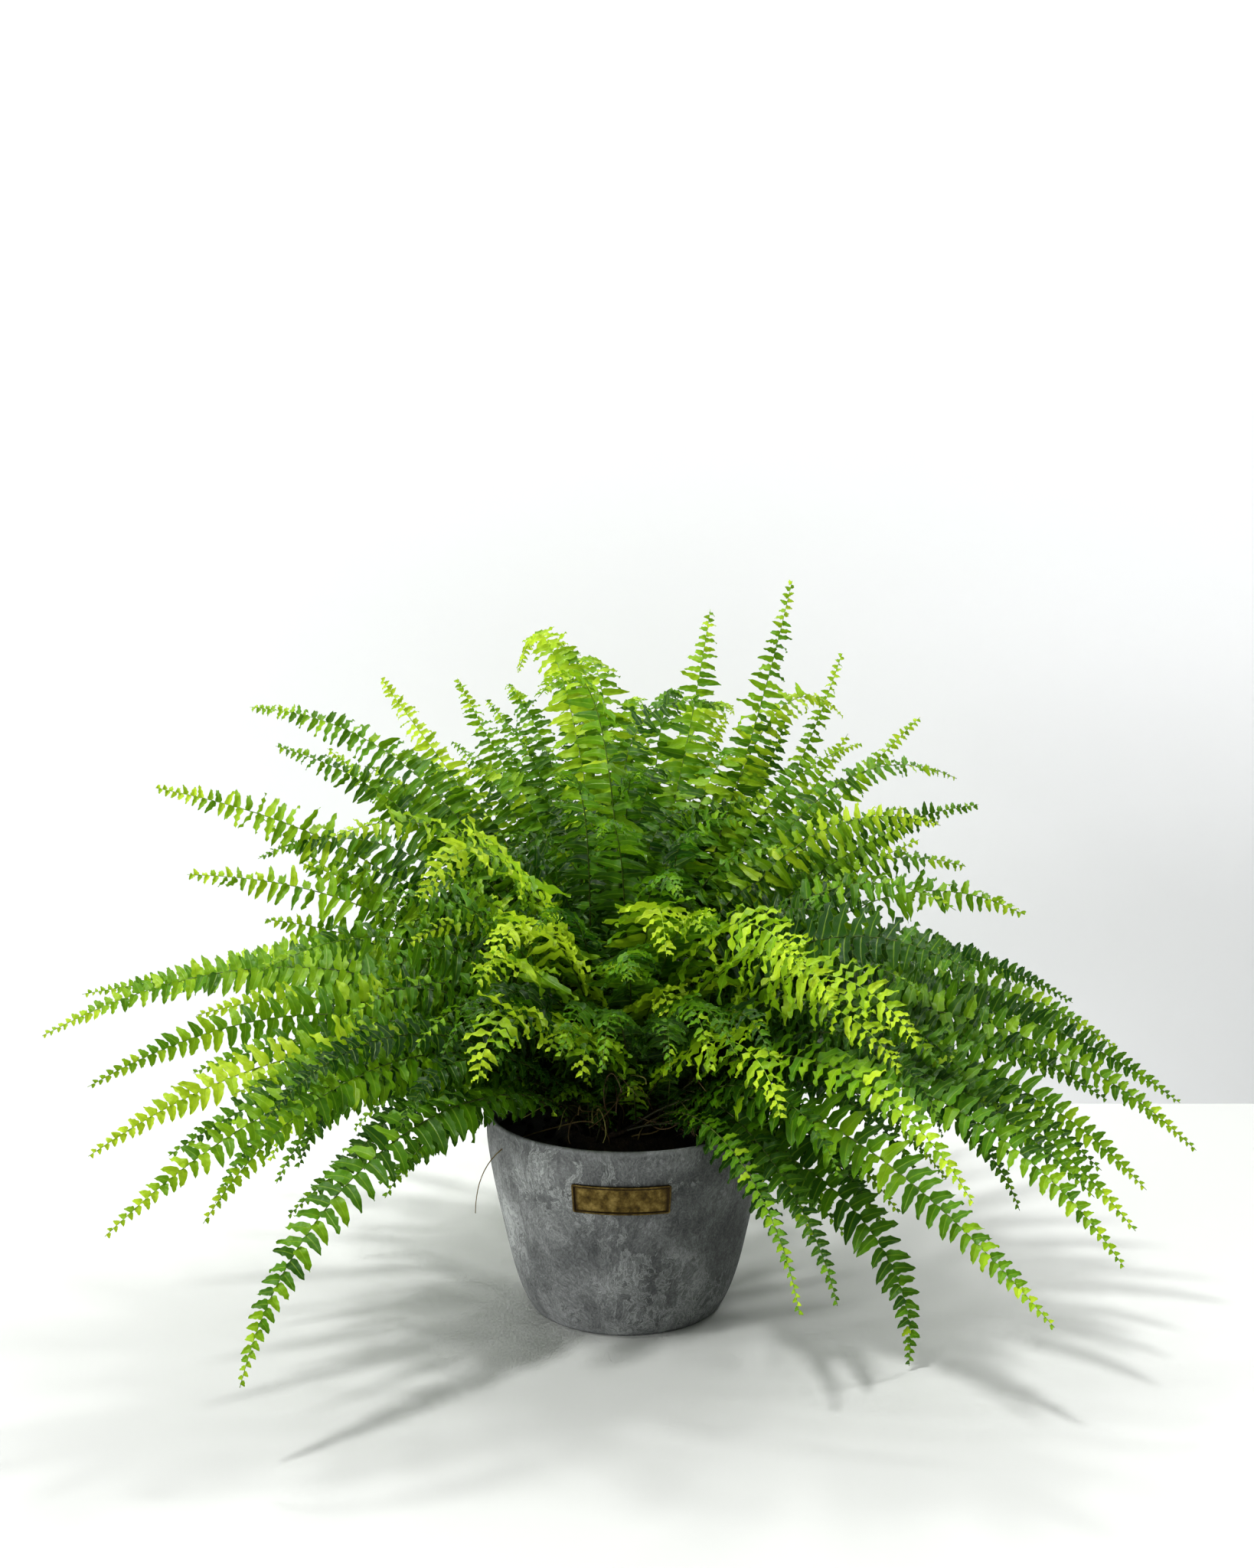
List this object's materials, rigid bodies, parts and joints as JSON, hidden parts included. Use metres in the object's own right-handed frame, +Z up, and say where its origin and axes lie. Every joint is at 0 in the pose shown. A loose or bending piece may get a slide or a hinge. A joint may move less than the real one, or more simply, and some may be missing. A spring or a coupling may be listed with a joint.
{
  "type": "potted fern",
  "caption": "Arching feathery fern mound growing from a round, slightly flared stone-look planter with a blank brass plate on its front.",
  "frame": {"origin": "centre of the planter's flat underside, on the surface that it stands on", "axes": "+Z up along the planter's axis; -Y is the front, where the plate is; +X is to the right of someone who faces the front"},
  "size_m": [0.878, 0.6874, 0.5658],
  "materials": {
    "stone": "mottled grey, matte, with pale cloudy blotches and small pits",
    "brass": "aged, dark in the recess and worn bright on the raised border",
    "soil": "moist, crumbly potting mix",
    "rhizome": "scaly, fibrous brown",
    "leaf": "thin, satin, translucent yellow-green leaf"
  },
  "bodies": {
    "root": {"planter": "stone", "name_plate": "brass", "soil": "soil", "crown": "rhizome", "frond_01": "leaf", "frond_02": "leaf", "frond_03": "leaf", "frond_04": "leaf", "frond_05": "leaf", "frond_06": "leaf", "frond_07": "leaf", "frond_08": "leaf", "frond_09": "leaf", "frond_10": "leaf", "frond_11": "leaf", "frond_12": "leaf", "frond_13": "leaf", "frond_14": "leaf", "frond_15": "leaf", "frond_16": "leaf", "frond_17": "leaf", "frond_18": "leaf", "frond_19": "leaf", "frond_20": "leaf", "frond_21": "leaf", "frond_22": "leaf", "frond_23": "leaf", "frond_24": "leaf", "frond_25": "leaf", "frond_26": "leaf", "frond_27": "leaf", "frond_28": "leaf", "frond_29": "leaf", "frond_30": "leaf", "frond_31": "leaf", "frond_32": "leaf", "frond_33": "leaf", "frond_34": "leaf", "frond_35": "leaf", "frond_36": "leaf", "frond_37": "leaf", "frond_38": "leaf", "frond_39": "leaf", "frond_40": "leaf", "frond_41": "leaf", "frond_42": "leaf", "frond_43": "leaf", "frond_44": "leaf", "frond_45": "leaf", "frond_46": "leaf", "frond_47": "leaf", "frond_48": "leaf", "frond_49": "leaf", "frond_50": "leaf", "frond_51": "leaf", "frond_52": "leaf", "frond_53": "leaf", "frond_54": "leaf", "frond_55": "leaf"}
  },
  "joints": []
}
